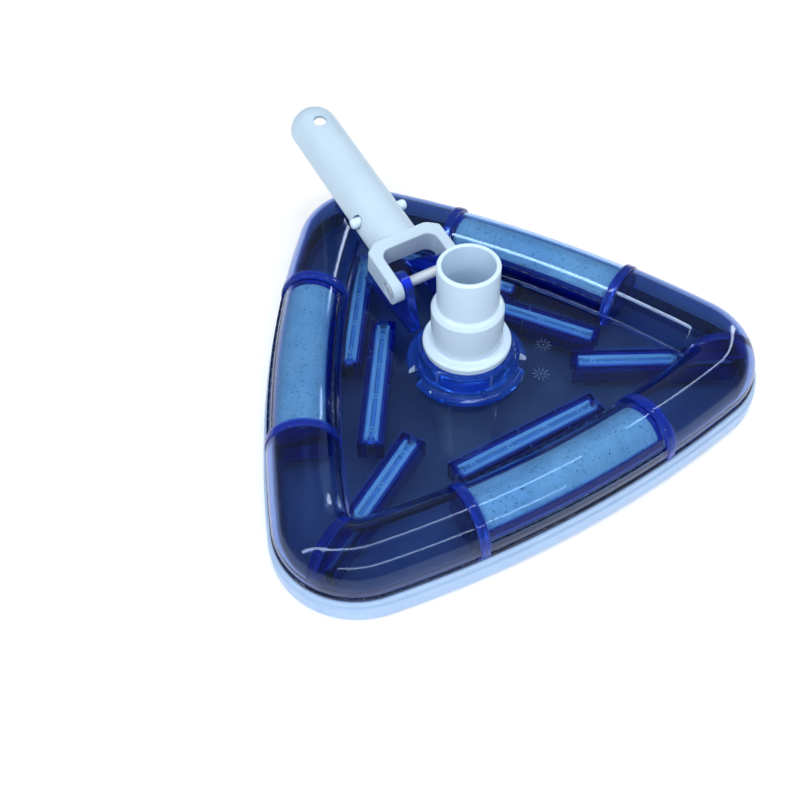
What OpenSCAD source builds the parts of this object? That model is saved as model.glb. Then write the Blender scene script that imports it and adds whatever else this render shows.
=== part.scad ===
// Manual vacuum head for a swimming pool: a weighted three-sided see-through head with brushes
// underneath, a swivelling hose nozzle in the middle and a handle that folds up on two ears.
// Millimetres, +Z up. The origin is on the hose axis, in the plane that the bumper stands on.
// X runs along the handle's hinge and +Y points to the corner below the handle.
//
// A "rim section" is drawn in (t, z): t is the distance inwards from the bumper's outer face.

/* [Outline] */
// Distance from the hose axis to the centre of each corner's arc
corner_reach = 113; // [109:0.5:115]
// Radius of the corners at the bumper's outer face
corner_r = 45.5; // [44:0.5:50]
// Radius of the bowed sides at the bumper's outer face
side_r = 600; // [500:10:800]

/* [Shell] */
// Height of the upper face of the top plate
plate_top = 21; // [20.5:0.5:23]
// Thickness of the plate and of the ridge's wall
wall = 3; // [2.5:0.25:3.5]
// Outer radius of the half-round ridge
ridge_r = 19; // [18:0.5:19.5]
// Height of the centre of the ridge's section
ridge_z = 19; // [18:0.5:20]
// Thickness of the ribs inside the corners
rib_t = 5; // [3:0.5:6]

/* [Bumper] */
// How far the bumper stands out from the shell
bumper_out = 3; // [2.5:0.25:3.5]
// Height of the bumper
bumper_h = 14; // [12:0.5:15]

/* [Weight pockets] */
// Length of the window between a pocket's two hoops
pocket_len = 102; // [90:1:110]
// Width of each hoop
hoop_w = 5.5; // [4:0.5:7]
// Depth to which the window is set back from the ridge's surface
window_depth = 1.2; // [0.6:0.1:1.5]
// Width of a weight
weight_w = 25; // [22:0.5:26]

/* [Brushes] */
// Length of a brush strip
brush_len = 82; // [76:1:84]
// Width of a brush strip seen from above
brush_w = 7.4; // [6:0.2:8]
// Outer width of the channel round a brush strip
channel_w = 13.6; // [12.8:0.2:14]
// Height of the bristles' tips above the floor
bristle_tip = 0.4; // [0:0.1:2]

/* [Hub and nozzle] */
// Radius of the hub collar's flange
collar_r = 32.5; // [30:0.5:34]
// Radius of the nozzle's upper step, for a 1 1/4 inch hose cuff
cuff_small_r = 16; // [15.5:0.1:16.2]
// Radius of the nozzle's lower step, for a 1 1/2 inch hose cuff
cuff_large_r = 19; // [18.8:0.1:19.2]
// Height of the nozzle's top
nozzle_top = 92; // [88:1:100]
// Radius of the nozzle's bore
bore_r = 13.5; // [12.5:0.25:13.75]

/* [Handle] */
// Distance of the hinge from the hose axis
hinge_y = 43.5; // [42:0.5:45]
// Height of the hinge
hinge_z = 49.5; // [48:0.5:52]
// Angle of the handle above the horizontal when it lies on its stops
handle_pitch = 10.5; // [10:0.5:12]
// Length of the handle from the hinge to its tip
handle_len = 145.5; // [130:0.5:150]
// Outer radius of the half-round tongue that the pole slides over
tongue_r = 15; // [14.5:0.25:15.5]
// Radius of the hinge bolt
bolt_r = 3; // [2.75:0.05:3.25]

/* [Hidden] */

$fn = 96;
sweep_fn = 360;
eps = 0.01;

// Outline: three side arcs and three corner arcs that meet tangentially.
side_c = sqrt(pow(side_r - corner_r, 2) - pow(corner_reach * cos(30), 2)) - corner_reach * sin(30);
side_half = asin(corner_reach * cos(30) / (side_r - corner_r));
corner_half = 60 - side_half;

// Ridge section
ridge_t = bumper_out + ridge_r;
ridge_in = ridge_r - wall;
foot_t = ridge_t + ridge_in;
plate_under = plate_top - wall;
foot_bottom = plate_under - 0.6;
rim_bottom = 3;
ledge = 0.8;

// The seams between the ridge's sides and corners: both sweeps stop short by a small angle, and a
// slightly thicker band closes the gap.
seam_band = 0.8;
seam_grow = 0.12;
side_pull = 0.02;
corner_pull = 0.3;

// Weight pockets, as stretches along a side measured at the ridge's middle
pocket_half = pocket_len / 2;
hoop_end = pocket_half + hoop_w;
hoop_lift = 0.7;
window_z_out = 24;
window_z_in = 27;
pocket_floor = 8.7;
cover_t = 2.5;
weight_gap = 0.8;
screw_s = pocket_half + hoop_w / 2;
screw_r = 1.5;
screw_tip = 17.9;

// Brush strips: [x, y, angle] of each one's middle
channel_wall = 1.6;
channel_under = 7;
channel_len = brush_len + 6.5;
flange_w = 10;
strip_under = 12.6;
BRUSH_FRONT = [0, -59.2, 0];
BRUSH_CORNER = [88.6, -51.2, -30];
BRUSH_INNER = [47.6, 14.6, 124];
BRUSH_OUTER = [31.3, 68.8, 124];

// Hub
collar_bore_r = 19.3;
collar_top = 35.5;
skirt_r = collar_bore_r - 0.05;
skirt_bottom = 14;
lug_angles = [-40, 68, 174];
flange_z = 36.6;
clip_z = 15.7;

// Hinge and handle, the handle's own frame has the hinge at its origin and +Y along the tongue
ear_in = 11;
ear_out = 16.3;
ear_boss_r = 7.5;
ear_foot_back = 88;
arm_in = 16.8;
arm_out = 23;
arm_z0 = -8;
arm_z1 = 7;
bridge_y0 = 21;
bridge_y1 = 25;
shoulder_y = 28.5;
tongue_wall = 2;
hole_y = handle_len - 21.5;
button_y = 52;
button_z = -3;
clip_root_x = 3.4;
clip_root_y = 103.5;
clip_tip_x = 9.2;
clip_strip = 1.2;

// ---- Helpers -------------------------------------------------------------------------------

// Sweeps a rim section along one side, between two distances from the side's middle.
module side_sweep(side, from, to) {
    mid_r = side_r - ridge_t;
    rotate(120 * side)
        translate([0, side_c])
            rotate(-90 + from / mid_r * 180 / PI)
                rotate_extrude(angle = (to - from) / mid_r * 180 / PI, $fn = sweep_fn)
                    translate([side_r, 0]) mirror([1, 0]) children();
}

// Sweeps a rim section all the way round the outline. Each arc can stop short of its ends by an
// angle, so that seam_bands can join it to its neighbours.
module rim_sweep(side_pull = 0, corner_pull = 0) {
    for (k = [0:2]) {
        rotate(120 * k)
            translate([0, side_c])
                rotate(side_pull - side_half - 90)
                    rotate_extrude(angle = 2 * (side_half - side_pull), $fn = sweep_fn)
                        translate([side_r, 0]) mirror([1, 0]) children();
        rotate(120 * k - 30)
            translate([corner_reach, 0])
                rotate(corner_pull - corner_half)
                    rotate_extrude(angle = 2 * (corner_half - corner_pull), $fn = sweep_fn / 3)
                        translate([corner_r, 0]) mirror([1, 0]) children();
    }
}

// Puts a thin band of a rim section across each of the six seams between side and corner.
module seam_bands() {
    for (k = [0:2], turn = [-1, 1])
        rotate(120 * k - 30)
            translate([corner_reach, 0])
                rotate(turn * corner_half)
                    translate([corner_r, seam_band / 2, 0])
                        rotate([90, 0, 0])
                            linear_extrude(seam_band)
                                mirror([1, 0]) children();
}

// The plate's area, which ends inside the ridge's inner foot: three arcs with the corners cut off.
module plate_area() {
    edge_t = foot_t + wall * 0.55;
    difference() {
        intersection_for(k = [0:2])
            rotate(120 * k) translate([0, side_c]) circle(r = side_r - edge_t, $fn = 4 * sweep_fn);
        for (k = [0:2])
            rotate(120 * k - 30)
                translate([corner_reach + corner_r - edge_t - 0.5, -corner_r])
                    square([corner_r, 2 * corner_r]);
    }
}

// A rectangle from one corner to the other.
module box2(a, b) {
    translate(a) square(b - a);
}

// Places a brush's parts; the mirrored copy is the one on the left.
module at_brush(place, left = false) {
    mirror([left ? 1 : 0, 0, 0])
        translate([place[0], place[1], 0])
            rotate(place[2])
                children();
}

// The tangent point on a circle, seen from point p; turn is 1 or -1 for the side.
function tangent_point(p, c, r, turn) =
    let (d = norm(p - c), a = atan2(p[1] - c[1], p[0] - c[0]) + turn * acos(r / d))
    c + r * [cos(a), sin(a)];

// Moves the handle's own frame to its place on the ears.
module on_hinge() {
    translate([0, hinge_y, hinge_z]) rotate([handle_pitch, 0, 0]) children();
}

// A cylinder along X from x0 to x1 at (y, z).
module x_rod(x0, x1, y, z, r, fn = 48) {
    translate([x0, y, z]) rotate([0, 90, 0]) cylinder(r = r, h = x1 - x0, $fn = fn);
}

// ---- Body shell ----------------------------------------------------------------------------

// The upper half of a disc in the ridge's section.
module half_disc(r) {
    intersection() {
        translate([ridge_t, ridge_z]) circle(r = r);
        box2([ridge_t - 2 * r, ridge_z], [ridge_t + 2 * r, ridge_z + 2 * r]);
    }
}

// The ridge with its outer wall and inner foot; grow makes every wall that much thicker.
module ridge_section(grow = 0) {
    difference() {
        union() {
            half_disc(ridge_r + grow);
            box2([bumper_out - grow, rim_bottom - grow], [ridge_t, ridge_z]);
            box2([ridge_t, foot_bottom - grow], [ridge_t + ridge_r + grow, ridge_z]);
        }
        union() {
            half_disc(ridge_in - grow);
            box2([bumper_out + wall + grow, rim_bottom - 1], [foot_t - grow, ridge_z]);
        }
    }
    box2([bumper_out - ledge - grow, bumper_h + 0.4 - grow],
        [bumper_out + wall / 2, bumper_h + 1.6 + grow]);
}

// The band that is cut from the ridge's outside to set a pocket's window back.
module window_section() {
    difference() {
        intersection() {
            translate([ridge_t, ridge_z]) circle(r = ridge_r + 3);
            union() {
                box2([0, window_z_out], [ridge_t, 60]);
                box2([ridge_t - eps, window_z_in], [2 * ridge_t, 60]);
            }
        }
        translate([ridge_t, ridge_z]) circle(r = ridge_r - window_depth);
    }
}

// A hoop over the ridge, with the pocket's end wall below it.
module hoop_section() {
    half_disc(ridge_r + hoop_lift);
    box2([bumper_out - hoop_lift, bumper_h + 1], [ridge_t, ridge_z]);
    box2([bumper_out + wall / 2, pocket_floor], [foot_t + wall / 4, ridge_z]);
}

// The walls along a pocket's sides.
module pocket_wall_section() {
    for (side = [-1, 1])
        translate([ridge_t + side * (weight_w / 2 + weight_gap + 0.8), 0])
            box2([-0.8, pocket_floor], [0.8, ridge_z + 10]);
}

module corner_rib() {
    translate([0, rib_t / 2, 0])
        rotate([90, 0, 0])
            linear_extrude(rib_t)
                translate([corner_reach + corner_r, 0]) mirror([1, 0])
                    half_disc(ridge_in + wall / 2);
}

module brush_channel(slits = true) {
    slit = 1.5;
    difference() {
        translate([-channel_len / 2, -channel_w / 2, channel_under])
            cube([channel_len, channel_w, plate_under - channel_under + wall / 2]);
        translate([-channel_len / 2 + channel_wall, channel_wall - channel_w / 2, channel_under - 1])
            cube([channel_len - 2 * channel_wall, channel_w - 2 * channel_wall, 60]);
        translate([-channel_len, -2.4, channel_under - 1])
            cube([2 * channel_len, 4.8, 60]);
        if (slits)
            for (x = [-0.03, 0.24])
                translate([x * channel_len, -channel_w, channel_under - 1])
                    cube([slit, 2 * channel_w, 60]);
    }
}

// One ear in the YZ plane, as a profile in (y, z).
module ear_profile() {
    boss = [hinge_y, hinge_z];
    back = [ear_foot_back, plate_top - 1];
    front = [29.5, 26];
    polygon([
        [33.3, plate_top - 1], back, tangent_point(back, boss, ear_boss_r, 1), boss,
        tangent_point(front, boss, ear_boss_r, -1), front, [33.3, 26]
    ]);
    translate(boss) circle(r = ear_boss_r);
}

module ears() {
    for (x = [-ear_out, ear_in])
        translate([x, 0, 0])
            rotate([90, 0, 90])
                linear_extrude(ear_out - ear_in)
                    ear_profile();
}

module ridge() {
    difference() {
        union() {
            rim_sweep(side_pull, corner_pull) ridge_section();
            seam_bands() ridge_section(seam_grow);
        }
        for (k = [0:2])
            side_sweep(k, -pocket_half - 1, pocket_half + 1) window_section();
    }
}

// The plate with all that stands on it or hangs below it.
module floor_plate() {
    union() {
        translate([0, 0, plate_under]) linear_extrude(wall) plate_area();
        at_brush(BRUSH_FRONT) brush_channel();
        for (left = [false, true]) {
            at_brush(BRUSH_CORNER, left) brush_channel(false);
            at_brush(BRUSH_INNER, left) brush_channel();
            at_brush(BRUSH_OUTER, left) brush_channel();
        }
        ears();
    }
}

// The ribs in the corners and the walls of the weight pockets.
module stiffeners() {
    for (k = [0:2]) {
        rotate(120 * k - 30) corner_rib();
        side_sweep(k, -pocket_half - 1, pocket_half + 1) pocket_wall_section();
        for (s = [-hoop_end, pocket_half])
            side_sweep(k, s, s + hoop_w) hoop_section();
    }
}

// The passage for a corner strip below the ridge's inner foot.
module strip_passage() {
    translate([4, -brush_w / 2 - 0.5, foot_bottom - 1])
        cube([22, brush_w + 1, plate_under - foot_bottom + 1.15]);
}

module body_shell() {
    color([0.10, 0.25, 0.75, 0.55])
        difference() {
            union() {
                ridge();
                floor_plate();
                stiffeners();
            }
            translate([0, 0, plate_under - 1]) cylinder(r = 24, h = wall + 2);
            x_rod(-arm_in, arm_in, hinge_y, hinge_z, bolt_r + 0.05);
            for (k = [0:2])
                at_screws(k) cylinder(r = screw_r + 0.05, h = screw_tip + 0.3, $fn = 32);
            for (left = [false, true])
                at_brush(BRUSH_CORNER, left) strip_passage();
        }
}

// ---- Bumper --------------------------------------------------------------------------------

module bumper_section() {
    lip = 1.6;
    difference() {
        union() {
            translate([lip, lip]) circle(r = lip);
            translate([lip + 0.7, bumper_h - lip]) circle(r = lip);
            box2([0, lip], [bumper_out, bumper_h - 2 * lip - 0.6]);
            box2([lip, 0], [bumper_out + wall + 2.2, rim_bottom]);
            box2([lip + 0.7, bumper_h - 2 * lip - 1], [bumper_out, bumper_h]);
            box2([bumper_out + wall, 1], [bumper_out + wall + 2.2, pocket_floor - cover_t - 0.4]);
        }
        box2([bumper_out, rim_bottom], [bumper_out + wall, 40]);
    }
}

module bumper() {
    color([0.85, 0.93, 0.98]) rim_sweep() bumper_section();
}

// ---- Hub and nozzle ------------------------------------------------------------------------

module hub_collar() {
    lug_z = plate_under - 2.2;
    color([0.05, 0.12, 0.60, 0.75])
        difference() {
            union() {
                rotate_extrude()
                    difference() {
                        polygon([
                            [collar_bore_r, plate_under - 0.5], [23.8, plate_under - 0.5],
                            [23.8, plate_top], [collar_r, plate_top], [collar_r, 23.8],
                            [collar_r - 1.2, 25], [28.6, 25.6], [25.8, collar_top - 1],
                            [24.8, collar_top], [collar_bore_r, collar_top]
                        ]);
                        translate([28.9, 27.4]) circle(r = 1.1);
                    }
                for (a = lug_angles)
                    rotate(a)
                        intersection() {
                            translate([20, -4.5, lug_z]) cube([20, 9, plate_under - lug_z + 1]);
                            rotate_extrude()
                                polygon([
                                    [22.6, lug_z], [27, lug_z], [27, plate_under],
                                    [23.8, plate_under], [23.8, plate_top], [22.6, plate_top]
                                ]);
                        }
            }
            for (a = lug_angles)
                rotate(a) translate([27.8, -5, plate_top - 1]) cube([10, 10, 10]);
        }
}

module swivel_washer() {
    color([0.95, 0.95, 0.92])
        translate([0, 0, collar_top])
            difference() {
                cylinder(r = 23.2, h = flange_z - collar_top - 0.1);
                translate([0, 0, -1]) cylinder(r = collar_bore_r + 0.2, h = 4);
            }
}

// The wall of the nozzle, as a profile in (radius, height).
module nozzle_profile() {
    step1 = flange_z + 3.6;
    step2 = 66;
    wide_r = 15;
    polygon([
        [wide_r, skirt_bottom], [skirt_r - 0.8, skirt_bottom], [skirt_r, skirt_bottom + 0.8],
        [skirt_r, clip_z - 0.1], [17.8, clip_z - 0.1], [17.8, clip_z + 1.5], [skirt_r, clip_z + 1.5],
        [skirt_r, 26.4], [17.1, 26.4], [17.1, 28.6], [skirt_r, 28.6],
        [skirt_r, flange_z], [23.1, flange_z], [23.6, flange_z + 0.5], [23.6, step1 - 1],
        [22.6, step1], [cuff_large_r + 0.8, step1 + 0.2], [cuff_large_r, step1 + 1],
        [cuff_large_r, step2 - 3], [cuff_large_r - 1.2, step2 - 0.6], [cuff_small_r + 0.6, step2],
        [cuff_small_r, step2 + 0.6], [cuff_small_r, nozzle_top - 0.8], [cuff_small_r - 0.6, nozzle_top],
        [bore_r + 0.4, nozzle_top], [bore_r, nozzle_top - 0.4], [bore_r, step2 - 5],
        [wide_r, step2 - 9]
    ]);
}

module swivel_nozzle() {
    color([0.90, 0.95, 1.0]) rotate_extrude() nozzle_profile();
}

module nozzle_o_ring() {
    color([0.12, 0.12, 0.13])
        translate([0, 0, 27.5])
            rotate_extrude() translate([18.2, 0]) circle(r = 1, $fn = 32);
}

module nozzle_clip() {
    color([0.92, 0.93, 0.95])
        translate([0, 0, clip_z])
            difference() {
                cylinder(r = 21.5, h = 1.4);
                translate([0, 0, -1]) cylinder(r = 17.9, h = 4);
                translate([0, -3, -1]) cube([30, 6, 4]);
            }
}

// ---- Handle --------------------------------------------------------------------------------

// The half-round body of the tongue at radius r, closed by a quarter of a ball, in the handle's frame.
module tongue_body(r, y0) {
    straight = handle_len - tongue_r - y0;
    intersection() {
        translate([0, y0, arm_z0])
            rotate([-90, 0, 0])
                rotate_extrude() {
                    box2([0, 0], [r, straight]);
                    intersection() {
                        translate([0, straight]) circle(r = r);
                        box2([0, straight], [r, straight + r + 1]);
                    }
                }
        translate([-r - 1, y0 - 1, arm_z0]) cube([2 * r + 2, handle_len, r + 1]);
    }
}

// The yoke seen from above: two arms, a rounded slot between them and shoulders to the tongue.
module yoke_plan() {
    slot_round = 6;
    difference() {
        union() {
            box2([-arm_out, -12], [arm_out, bridge_y1 - 3]);
            polygon([
                [-arm_out, bridge_y1 - 4], [-arm_out + 1.5, bridge_y1 - 0.5], [-tongue_r, shoulder_y],
                [tongue_r, shoulder_y], [arm_out - 1.5, bridge_y1 - 0.5], [arm_out, bridge_y1 - 4]
            ]);
        }
        box2([-arm_in, -20], [arm_in, bridge_y0 - slot_round]);
        box2([-arm_in + slot_round, -20], [arm_in - slot_round, bridge_y0]);
        for (x = [-1, 1])
            translate([x * (arm_in - slot_round), bridge_y0 - slot_round]) circle(r = slot_round);
    }
}

// The yoke seen from the side, in (y, z).
module yoke_side() {
    mid_z = (arm_z0 + arm_z1) / 2;
    half = (arm_z1 - arm_z0) / 2;
    translate([0, mid_z]) circle(r = half);
    box2([0, arm_z0], [shoulder_y, arm_z1]);
}

module handle() {
    nut_recess = 3.2;
    color([0.86, 0.93, 1.0])
        on_hinge()
            difference() {
                union() {
                    intersection() {
                        translate([0, 0, arm_z0]) linear_extrude(arm_z1 - arm_z0) yoke_plan();
                        translate([-arm_out - 1, 0, 0])
                            rotate([90, 0, 90]) linear_extrude(2 * arm_out + 2) yoke_side();
                    }
                    tongue_body(tongue_r, bridge_y1);
                }
                tongue_body(tongue_r - tongue_wall, bridge_y1);
                translate([0, hole_y, -10]) cylinder(r = 4, h = 30);
                x_rod(-30, 30, 0, 0, bolt_r + 0.05);
                x_rod(-30, nut_recess - arm_out, 0, 0, 4.7);
                x_rod(arm_out - nut_recess, 30, 0, 0, 5.2, 6);
                for (x = [-20, 5])
                    x_rod(x, x + 15, button_y, button_z, 4.2);
            }
}

module hinge_bolt() {
    pitch = 1;
    thread_from = -10;
    thread_to = 22.8;
    turns = floor((thread_to - thread_from) / pitch);
    color([0.90, 0.94, 0.97])
        translate([0, hinge_y, hinge_z])
            rotate([0, 90, 0])
                rotate_extrude($fn = 48)
                    polygon(concat(
                        [[0, -arm_out], [3.9, -arm_out], [4.4, 0.5 - arm_out], [4.4, 3 - arm_out]],
                        [[bolt_r, 3 - arm_out], [bolt_r, thread_from]],
                        [for (i = [0:turns - 1]) each [
                            [bolt_r - 0.45, thread_from + (i + 0.45) * pitch],
                            [bolt_r, thread_from + (i + 0.9) * pitch],
                            [bolt_r, thread_from + (i + 1) * pitch]
                        ]],
                        [[0, thread_from + turns * pitch]]
                    ));
}

module hinge_nut() {
    color([0.90, 0.94, 0.97])
        translate([0, hinge_y, hinge_z])
            rotate([handle_pitch, 0, 0])
                difference() {
                    x_rod(arm_out - 3, arm_out, 0, 0, 4.9, 6);
                    x_rod(arm_out - 4, arm_out + 1, 0, 0, bolt_r + 0.02);
                }
}

// The spring clip's bend, near the tongue's tip.
module clip_bend() {
    bend_r = clip_root_x + clip_strip / 2;
    color([0.75, 0.77, 0.80])
        on_hinge()
            translate([0, clip_root_y + 1.2, button_z - 3.4])
                linear_extrude(6.4)
                    difference() {
                        circle(r = bend_r, $fn = 48);
                        circle(r = bend_r - clip_strip, $fn = 48);
                        box2([-10, -10], [10, 0]);
                    }
}

// One leg of the clip, from the eye that it turns about to its button; side is 1 on the right and
// -1 on the left.
module clip_leg(side) {
    lean = atan2(clip_tip_x - clip_root_x, clip_root_y - button_y);
    leg_len = norm([clip_tip_x - clip_root_x, clip_root_y - button_y]) + 4;
    on_hinge()
        mirror([side > 0 ? 0 : 1, 0, 0]) {
            translate([clip_root_x, clip_root_y, button_z - 3.4])
                rotate(lean) {
                    translate([-clip_strip / 2, -leg_len, 0])
                        cube([clip_strip, leg_len, 6.4]);
                    cylinder(r = 0.9, h = 6.4, $fn = 24);
                }
            x_rod(clip_tip_x, 17.2, button_y, button_z, 3);
            x_rod(17.2 - eps, 18, button_y, button_z, 2.4);
        }
}

module clip_leg_left() {
    color([0.93, 0.95, 0.97]) clip_leg(-1);
}

module clip_leg_right() {
    color([0.93, 0.95, 0.97]) clip_leg(1);
}

// ---- Weights and covers --------------------------------------------------------------------

module weight(side) {
    end_gap = 1;
    color([0.75, 0.80, 0.82])
        side_sweep(side, end_gap - pocket_half, pocket_half - end_gap)
            intersection() {
                translate([ridge_t, ridge_z]) circle(r = ridge_in - 1.5);
                box2([ridge_t - weight_w / 2, pocket_floor + 0.3], [ridge_t + weight_w / 2, 60]);
            }
}

module weight_front() { weight(0); }
module weight_right() { weight(1); }
module weight_left() { weight(2); }

module weight_cover(side) {
    half_w = weight_w / 2 + weight_gap + 1.6;
    color([0.20, 0.35, 0.80])
        difference() {
            side_sweep(side, 0.4 - hoop_end, hoop_end - 0.4)
                box2([ridge_t - half_w, pocket_floor - cover_t], [ridge_t + half_w, pocket_floor]);
            at_screws(side) cylinder(r = 1.7, h = 40, $fn = 32);
        }
}

module weight_cover_front() { weight_cover(0); }
module weight_cover_right() { weight_cover(1); }
module weight_cover_left() { weight_cover(2); }

// Places things at the two screws of a side's cover.
module at_screws(side) {
    mid_r = side_r - ridge_t;
    for (s = [-screw_s, screw_s])
        rotate(120 * side)
            translate([0, side_c])
                rotate(-90 + s / mid_r * 180 / PI)
                    translate([mid_r, 0, 0])
                        children();
}

module cover_screws() {
    seat = pocket_floor - cover_t;
    under = seat - 1.8;
    color([0.70, 0.72, 0.74])
        for (side = [0:2])
            at_screws(side)
                rotate_extrude($fn = 32)
                    polygon([
                        [0, under + 0.5], [0.9, under + 0.5], [0.9, under], [2.2, under],
                        [3, under + 0.7], [3, seat], [screw_r, seat], [screw_r, screw_tip - 1.5],
                        [0.6, screw_tip], [0, screw_tip]
                    ]);
}

// ---- Brushes -------------------------------------------------------------------------------

// A strip in section is a rail with a groove in its top and a wider flange below.
module brush_strip() {
    rail_top = plate_under;
    flange_top = 15;
    color([0.55, 0.72, 0.90])
        difference() {
            union() {
                translate([-brush_len / 2, -brush_w / 2, strip_under])
                    cube([brush_len, brush_w, rail_top - strip_under]);
                translate([-brush_len / 2, -flange_w / 2, strip_under])
                    cube([brush_len, flange_w, flange_top - strip_under]);
            }
            translate([-brush_len, -1.2, rail_top - 1.6])
                cube([2 * brush_len, 2.4, 5]);
        }
}

// The bristles as one slab that spreads a little towards its tips.
module bristle_slab() {
    top_w = 4.6;
    tip_w = 8;
    color([0.60, 0.75, 0.95])
        translate([1.5 - brush_len / 2, 0, 0])
            rotate([90, 0, 90])
                linear_extrude(brush_len - 3)
                    polygon([
                        [-tip_w / 2, bristle_tip], [tip_w / 2, bristle_tip],
                        [top_w / 2, strip_under], [-top_w / 2, strip_under]
                    ]);
}

module brush_front() { at_brush(BRUSH_FRONT) brush_strip(); }
module brush_corner_left() { at_brush(BRUSH_CORNER, true) brush_strip(); }
module brush_corner_right() { at_brush(BRUSH_CORNER) brush_strip(); }
module brush_inner_left() { at_brush(BRUSH_INNER, true) brush_strip(); }
module brush_inner_right() { at_brush(BRUSH_INNER) brush_strip(); }
module brush_outer_left() { at_brush(BRUSH_OUTER, true) brush_strip(); }
module brush_outer_right() { at_brush(BRUSH_OUTER) brush_strip(); }
module bristles_front() { at_brush(BRUSH_FRONT) bristle_slab(); }
module bristles_corner_left() { at_brush(BRUSH_CORNER, true) bristle_slab(); }
module bristles_corner_right() { at_brush(BRUSH_CORNER) bristle_slab(); }
module bristles_inner_left() { at_brush(BRUSH_INNER, true) bristle_slab(); }
module bristles_inner_right() { at_brush(BRUSH_INNER) bristle_slab(); }
module bristles_outer_left() { at_brush(BRUSH_OUTER, true) bristle_slab(); }
module bristles_outer_right() { at_brush(BRUSH_OUTER) bristle_slab(); }

body_shell();
bumper();
hub_collar();
swivel_washer();
swivel_nozzle();
nozzle_o_ring();
nozzle_clip();
handle();
hinge_bolt();
hinge_nut();
clip_bend();
clip_leg_left();
clip_leg_right();
weight_front();
weight_right();
weight_left();
weight_cover_front();
weight_cover_right();
weight_cover_left();
cover_screws();
brush_front();
brush_corner_left();
brush_corner_right();
brush_inner_left();
brush_inner_right();
brush_outer_left();
brush_outer_right();
bristles_front();
bristles_corner_left();
bristles_corner_right();
bristles_inner_left();
bristles_inner_right();
bristles_outer_left();
bristles_outer_right();
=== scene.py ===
"""Looks of the manual vacuum head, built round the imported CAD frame. Lengths below are millimetres."""

import math
import random

import bmesh
import bpy
from mathutils import Matrix, Vector


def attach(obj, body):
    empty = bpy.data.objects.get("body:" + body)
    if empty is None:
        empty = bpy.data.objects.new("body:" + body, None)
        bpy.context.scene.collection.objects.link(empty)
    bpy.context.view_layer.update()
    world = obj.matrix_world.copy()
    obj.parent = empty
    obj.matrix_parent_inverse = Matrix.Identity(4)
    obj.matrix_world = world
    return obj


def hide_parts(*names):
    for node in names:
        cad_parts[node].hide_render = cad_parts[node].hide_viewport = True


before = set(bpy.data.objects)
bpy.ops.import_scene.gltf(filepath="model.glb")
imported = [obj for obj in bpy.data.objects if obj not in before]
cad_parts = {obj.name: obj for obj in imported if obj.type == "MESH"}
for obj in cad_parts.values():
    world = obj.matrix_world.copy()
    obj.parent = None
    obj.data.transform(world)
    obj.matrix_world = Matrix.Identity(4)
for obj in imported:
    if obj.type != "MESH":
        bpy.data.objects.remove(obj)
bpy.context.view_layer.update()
MM = 0.001

# ---- Sizes, as in the CAD ----

CORNER_REACH, CORNER_R, SIDE_R = 113.0, 45.5, 600.0
PLATE_TOP, WALL = 21.0, 3.0
PLATE_UNDER = PLATE_TOP - WALL
RIDGE_R, RIDGE_Z = 19.0, 19.0
BUMPER_OUT, BUMPER_H = 3.0, 14.0
RIDGE_T = BUMPER_OUT + RIDGE_R
POCKET_HALF, HOOP_W, HOOP_LIFT, RIB_HALF = 51.0, 5.5, 0.7, 2.5
WINDOW_DEPTH, WINDOW_Z_OUT, WINDOW_Z_IN = 1.2, 24.0, 27.0
POCKET_FLOOR, COVER_T, WEIGHT_W = 8.7, 2.5, 25.0
SCREW_S = POCKET_HALF + HOOP_W / 2
BRUSH_LEN, BRUSH_W, CHANNEL_W, CHANNEL_WALL = 82.0, 7.4, 13.6, 1.6
CHANNEL_LEN, CHANNEL_UNDER, STRIP_UNDER = BRUSH_LEN + 6.5, 7.0, 12.6
BRISTLE_TIP = 0.4
COLLAR_R, COLLAR_TOP, COLLAR_BORE, HUB_HOLE = 32.5, 35.5, 19.3, 24.0
NOTCHES, NOTCH_R, NOTCH_HALF = (-40, 68, 174), 28.6, 5
FLANGE_Z, NOZZLE_TOP, CUFF_SMALL, CUFF_LARGE, BORE_R = 36.6, 92.0, 16.0, 19.0, 13.5
HINGE_Y, HINGE_Z, PITCH, HINGE_HOLE_R, BOLT_R = 43.5, 49.5, 10.5, 3.05, 3
EAR_IN, EAR_OUT, EAR_R = 11, 16.3, 7.5
BRIDGE_0, BRIDGE_1, SHOULDER = 21.0, 25.0, 28.5
ARM_IN, ARM_OUT, ARM_Z0, ARM_Z1 = 16.8, 23.0, -8.0, 7.0
TONGUE_R, TONGUE_WALL, HANDLE_LEN = 15.0, 2.0, 145.5
HANG_Y, HANG_R = 124.0, 4
BUTTON_Y, BUTTON_Z, BUTTON_R, BUTTON_HOLE_R = 52.0, -3.0, 3, 4.2
CLIP_ROOT, CLIP_TIP_X, CLIP_T, CLIP_Z0, CLIP_Z1 = (3.4, 103.5), 9.2, 1.2, BUTTON_Z - 3.4, BUTTON_Z + 3
BRUSHES = {  # x, y and angle of each strip's middle, on the right half
    "front": (0, -59.2, 0),
    "corner": (88.6, -51.2, -30),
    "inner": (47.6, 14.6, 124),
    "outer": (31.3, 68.8, 124),
}

# How far +Y the front side's arc has its centre, and the half angle that a side spans.
side_c = math.sqrt((SIDE_R - CORNER_R) ** 2 - (CORNER_REACH * math.cos(math.pi / 6)) ** 2) - CORNER_REACH / 2
side_half = math.degrees(math.asin(CORNER_REACH * math.cos(math.pi / 6) / (SIDE_R - CORNER_R)))
corner_half = 60 - side_half

CUT, JOIN, KEEP = "DIFFERENCE", "UNION", "INTERSECT"
LIE_ALONG_X = Matrix(((0, 0, 1, 0), (1, 0, 0, 0), (0, 1, 0, 0), (0, 0, 0, 1)))  # (x, y, z) to (z, x, y)
AXIS_TO_X = Matrix.Rotation(math.pi / 2, 4, "Y")

# ---- Mesh helpers ----


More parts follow.
